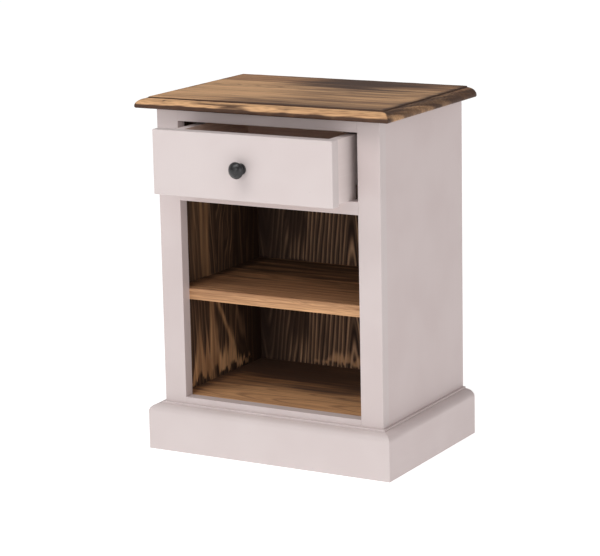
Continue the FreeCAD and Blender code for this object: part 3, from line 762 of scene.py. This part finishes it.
def make_top():
    """A grid over the top and its moulding, closed by rings that run round its lower edge."""
    xs, ys = top_grid()
    x, y = np.meshgrid(xs, ys, indexing="ij")
    surface, masks = top_surface(x, y)
    rows, columns = x.shape
    vertices = [np.stack([x, y, top_low.z + surface], -1).reshape(-1, 3)]
    faces = grid_faces(rows, columns, closed=False)
    masks = {key: [values.reshape(-1)] for key, values in masks.items()}

    # The rim runs round the grid: left side, back, right side and front.
    rim = [(0, j) for j in range(columns)] + [(i, columns - 1) for i in range(1, rows)]
    rim += [(rows - 1, j) for j in range(columns - 2, -1, -1)]
    rim += [(i, 0) for i in range(rows - 2, 0, -1)]
    rim_places = [i * columns + j for i, j in rim]
    count = len(rim)

    # Each ring lies inwards of the edge and above the underside: first one on the straight
    # edge, then those of the rounded nose.
    rings = [(0.0, ovolo_base * 0.6 + nose_radius * 0.4)]
    rings += [(nose_radius * (1 - math.cos(a)), nose_radius * (1 - math.sin(a)))
              for a in np.linspace(0, math.pi / 2, 5)]
    previous = rim_places
    offset = rows * columns
    for inwards, height in rings:
        left, right = top_low.x + inwards, top_high.x - inwards
        front = top_low.y + inwards
        vertices.append(np.array([(min(max(xs[i], left), right), max(ys[j], front),
                                   top_low.z + height) for i, j in rim]))
        here = list(range(offset, offset + count))
        for k in range(count):
            n = (k + 1) % count
            faces.append((previous[k], here[k], here[n], previous[n]))
        previous = here
        offset += count
        # The rings take the masks of the grid's rim, so the nose along the front and sides carries
        # the painted shadow of the outer edge.
        for values in masks.values():
            values.append(values[0][rim_places])
    faces.append(tuple(previous))
    masks = {key: np.concatenate(values) for key, values in masks.items()}
    top = new_piece("top_board", np.concatenate(vertices), faces, "case", top_wood,
                    ["top_panel"], masks)
    close_up(top.data, merge=0.001 * MM, sharp=50)


make_top()


# The knob, turned about its axis

def quarter(steps):
    """Angles of a quarter turn."""
    return [share * math.pi / 2 for share in np.linspace(0, 1, steps)]


def knob_profile():
    """Radii and distances from the drawer front, in millimetres: a foot, a waist and a dome."""
    foot, waist, head = 8.0, 5.25, 13.75
    length = 24.0
    dome_height = 8.0
    profile = [(0.0, 0.0), (9.4, 0.0), (9.5, 0.2), (9.5, 1.3), (9.3, 2.1), (8.8, 2.75), (foot, 3.0)]
    for angle in quarter(9)[1:]:
        profile.append((foot - (foot - waist) * math.sin(angle), 7.0 - 4.0 * math.cos(angle)))
    profile.append((waist, 9.4))
    for angle in quarter(11):
        profile.append((waist + (head - waist) * math.sin(angle), 16.0 - 4.5 * math.cos(angle)))
    dome_radius = (head ** 2 + dome_height ** 2) / (2 * dome_height)
    limit = math.asin(head / dome_radius)
    for share in np.linspace(1, 0, 17)[1:]:
        angle = share * limit
        profile.append((dome_radius * math.sin(angle),
                        length - dome_radius * (1 - math.cos(angle))))
    return profile, head


def make_knob():
    """The knob, with a slightly uneven forged surface."""
    centre = (knob_low + knob_high) / 2
    length = knob_high.y - knob_low.y
    profile, head = knob_profile()
    scale = (knob_high.x - knob_low.x) / 2 / (head * MM)
    turns = 96
    vertices = []
    for radius, out in profile:
        for k in range(turns):
            angle = 2 * math.pi * k / turns
            forged = 0.05 * (noise(np.float64(k / 6.0), np.float64(out / 2.0), seed=4.0) - 1.0)
            r = max(radius + forged, 0.0) * MM * scale if radius > 0 else 0.0
            vertices.append((centre.x + r * math.cos(angle), knob_high.y - min(out * MM, length),
                             centre.z + r * math.sin(angle)))
    faces = grid_faces(len(profile), turns, closed=True)
    knob = new_piece("turned_knob", vertices, faces, "drawer", iron, ["knob"])
    close_up(knob.data, merge=0.01 * MM, sharp=60)


make_knob()


# Finishes of the CAD pieces that stay

node_finish = {
    shaded_paint_upright: ["left_stile", "right_stile"],
    shaded_paint_rail: ["top_rail", "mid_rail", "bottom_rail"],
    paint_across: ["plinth_front", "drawer_front"],
    shaded_paint_deep: ["left_plinth_side", "right_plinth_side"],
    drawer_side_wood: ["left_drawer_side", "right_drawer_side"],
    drawer_cross_wood: ["drawer_box_front", "drawer_back"],
    ply_wood: ["drawer_bottom"],
    bare_x: ["rear_rail"],
    bare_y: ["left_floor_cleat", "right_floor_cleat", "left_drawer_stop", "right_drawer_stop"],
    dark_stain_and_shade_y: ["left_runner", "right_runner", "left_guide", "right_guide",
             "left_kicker", "right_kicker"],
    dowel_x: ["frame_dowels", "shelf_dowels", "floor_dowels", "rear_rail_dowels", "box_dowels"],
    dowel_y: ["stile_dowels"],
    zinc: ["cleat_screws", "runner_screws", "guide_screws", "stop_screws", "kicker_screws",
           "top_screws", "rear_top_screws", "plinth_side_screws", "plinth_front_screws",
           "knob_screw", "front_screws"],
    wire: ["back_nails", "bottom_nails"],
}
for material, names in node_finish.items():
    for name in names:
        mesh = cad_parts[name].data
        mesh.materials.clear()
        mesh.materials.append(material)


# Studio: floor, lights and camera

def grey(value):
    """A neutral colour."""
    return (value, value, value, 1)


def make_floor():
    """A pale, faintly clouded floor with a soft glow of its own, just under the plinth."""
    size = 40.0
    finish = Finish("studio_floor")
    finish.shader.inputs["Emission Color"].default_value = grey(1)
    finish.shader.inputs["Emission Strength"].default_value = 0.84
    cloud = finish.speckle(even(0.7), detail=2.0)
    finish.coat(finish.blend(cloud, grey(0.46), grey(0.48)), 0.8)
    mesh = bpy.data.meshes.new("studio_floor")
    corners = [(-size, -size, 0), (size, -size, 0), (size, size, 0), (-size, size, 0)]
    mesh.from_pydata(corners, [], [(0, 1, 2, 3)])
    floor = bpy.data.objects.new("studio_floor", mesh)
    floor.location.z = -0.2 * MM
    bpy.context.scene.collection.objects.link(floor)
    mesh.materials.append(finish.material)


def area_light(name, position, size, energy):
    """A round soft light that points at the middle of the case."""
    target = Vector((0.0, 0.04, 0.32))
    lamp = bpy.data.lights.new(name, "AREA")
    lamp.shape = "DISK"
    lamp.size = size
    lamp.energy = energy
    light = bpy.data.objects.new(name, lamp)
    light.location = position
    light.rotation_euler = (target - Vector(position)).to_track_quat("-Z", "Y").to_euler()
    bpy.context.scene.collection.objects.link(light)


def make_world():
    """Even light from all round."""
    world = bpy.data.worlds.new("studio")
    world.use_nodes = True
    background = world.node_tree.nodes["Background"]
    background.inputs["Color"].default_value = grey(1)
    background.inputs["Strength"].default_value = 0.37
    bpy.context.scene.world = world


def make_camera():
    """A long lens from the front right, a little above the top."""
    yaw = math.radians(29.633)
    pitch = math.radians(12.327)
    roll = math.radians(-1.1605)
    back = Vector((math.sin(yaw) * math.cos(pitch), -math.cos(yaw) * math.cos(pitch),
                   math.sin(pitch)))
    right = Vector((math.cos(yaw), math.sin(yaw), 0))
    up = back.cross(right)
    turned_right = right * math.cos(roll) + up * math.sin(roll)
    turned_up = up * math.cos(roll) - right * math.sin(roll)
    matrix = Matrix((turned_right, turned_up, back)).transposed().to_4x4()
    matrix.translation = Vector((1.904908, stile_low.y - 3.246202, 1.132360))
    lens = bpy.data.cameras.new("camera")
    lens.lens = 141.854
    lens.sensor_width = 36.0
    lens.clip_end = 200.0
    camera = bpy.data.objects.new("camera", lens)
    camera.matrix_world = matrix
    bpy.context.scene.collection.objects.link(camera)
    bpy.context.scene.camera = camera


make_floor()
area_light("key_light", (-1.7, -2.7, 3.7), size=1.8, energy=36.0)
area_light("top_light", (-0.1, -1.9, 3.9), size=1.6, energy=34.0)
area_light("front_light", (0.2, -3.6, 1.4), size=1.4, energy=16.0)
area_light("side_light", (3.0, -2.0, 1.2), size=1.6, energy=16.0)
make_world()
bpy.context.scene.view_settings.view_transform = "Standard"
make_camera()
